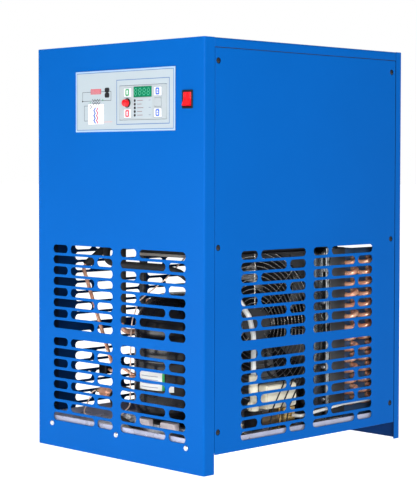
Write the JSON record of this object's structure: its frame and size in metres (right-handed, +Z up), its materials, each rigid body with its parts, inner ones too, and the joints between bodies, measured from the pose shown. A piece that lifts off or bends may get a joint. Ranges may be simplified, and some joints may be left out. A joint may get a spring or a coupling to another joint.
{
  "type": "refrigerated air dryer",
  "caption": "Floor-standing refrigerated compressed-air dryer in a slotted sheet-metal cabinet with a front control plate, rocker switch and rear air connections.",
  "frame": {"origin": "on the floor under the middle of the whole dryer", "axes": "+Z up, -Y out of the control panel, +X towards the right side panel as seen from the front"},
  "size_m": [0.445, 0.554, 0.74],
  "materials": {
    "blue_paint": "satin powder coat",
    "galvanised": "galvanised sheet",
    "zinc_screw": "zinc plated",
    "black_screw": "blackened",
    "label_plate": "printed polyester film on sheet",
    "controller_grey": "fine matt",
    "display_green": "glossy tinted window",
    "key_cap": "fine matt",
    "black_plastic": "moulded",
    "red_plastic": "moulded, glossy",
    "black_enamel": "semi-gloss enamel",
    "black_rubber": "matt",
    "coil_fins": "plain fins between galvanised plates",
    "dark_sheet": "dark grey sheet",
    "black_wire": "coated wire",
    "cream_plastic": "moulded",
    "foam": "closed-cell foam",
    "shelf_steel": "galvanised sheet",
    "copper": "drawn copper",
    "brass": "machined",
    "white_hose": "flexible tube",
    "zinc_fitting": "zinc plated"
  },
  "bodies": {
    "root": {"front_panel": "blue_paint", "rear_panel": "blue_paint", "right_side_panel": "blue_paint", "left_side_panel": "blue_paint", "top_cover": "blue_paint", "front_left_post": "galvanised", "front_right_post": "galvanised", "rear_left_post": "galvanised", "rear_right_post": "galvanised", "base_tray": "galvanised", "front_screw_1": "zinc_screw", "front_screw_2": "zinc_screw", "front_screw_3": "zinc_screw", "control_plate": "label_plate", "controller_housing": "controller_grey", "display_window": "display_green", "push_button_bezel": "black_plastic", "rocker_switch_frame": "black_plastic", "compressor_body": "black_enamel", "compressor_foot_plate": "galvanised", "compressor_terminal_cover": "black_plastic", "compressor_grommet_1": "black_rubber", "compressor_grommet_2": "black_rubber", "compressor_grommet_3": "black_rubber", "compressor_grommet_4": "black_rubber", "condenser_coil": "coil_fins", "fan_hood": "dark_sheet", "fan_guard": "black_wire", "fan_motor": "black_enamel", "fan_wiring_box": "black_plastic", "heat_exchanger": "foam", "exchanger_shelf": "shelf_steel", "filter_drier": "copper", "liquid_pipe": "copper", "suction_pipe": "copper", "discharge_pipe": "copper", "hot_gas_bypass_valve": "brass", "drain_hose": "white_hose", "drain_fitting": "cream_plastic", "drain_valve_body": "brass", "drain_timer": "cream_plastic", "condensate_pipe": "white_hose", "condensate_outlet": "black_plastic", "air_inlet_pipe": "zinc_fitting", "air_outlet_pipe": "zinc_fitting", "cable_gland": "black_plastic", "side_screw_1": "black_screw", "side_screw_2": "black_screw", "side_screw_3": "black_screw", "side_screw_4": "black_screw", "side_screw_5": "black_screw", "side_screw_6": "black_screw"},
    "fan": {"fan_impeller": "black_plastic"},
    "rocker": {"rocker_switch_rocker": "red_plastic"},
    "push_button": {"push_button_cap": "red_plastic"},
    "start_key_body": {"start_key": "key_cap"},
    "stop_key_body": {"stop_key": "key_cap"},
    "up_key_body": {"up_key": "key_cap"},
    "set_key_body": {"set_key": "key_cap"},
    "down_key_body": {"down_key": "key_cap"}
  },
  "joints": [
    {"name": "fan_spin", "type": "hinge", "parent": "root", "child": "fan", "pos_m": [0, 0.1363, 0.215], "axis": [0, 1, 0], "continuous": true},
    {"name": "rocker_tilt", "type": "hinge", "parent": "root", "child": "rocker", "pos_m": [0.183, -0.2655, 0.636], "axis": [1, 0, 0], "range_deg": [0, 22]},
    {"name": "push_button_press", "type": "slide", "parent": "root", "child": "push_button", "axis": [0, 1, 0], "range_m": [0, 0.0035], "stiffness_N_per_m": 500},
    {"name": "start_key_press", "type": "slide", "parent": "root", "child": "start_key_body", "axis": [0, 1, 0], "range_m": [0, 0.0008], "stiffness_N_per_m": 800},
    {"name": "stop_key_press", "type": "slide", "parent": "root", "child": "stop_key_body", "axis": [0, 1, 0], "range_m": [0, 0.0008], "stiffness_N_per_m": 800},
    {"name": "up_key_press", "type": "slide", "parent": "root", "child": "up_key_body", "axis": [0, 1, 0], "range_m": [0, 0.0008], "stiffness_N_per_m": 800},
    {"name": "set_key_press", "type": "slide", "parent": "root", "child": "set_key_body", "axis": [0, 1, 0], "range_m": [0, 0.0008], "stiffness_N_per_m": 800},
    {"name": "down_key_press", "type": "slide", "parent": "root", "child": "down_key_body", "axis": [0, 1, 0], "range_m": [0, 0.0008], "stiffness_N_per_m": 800}
  ]
}
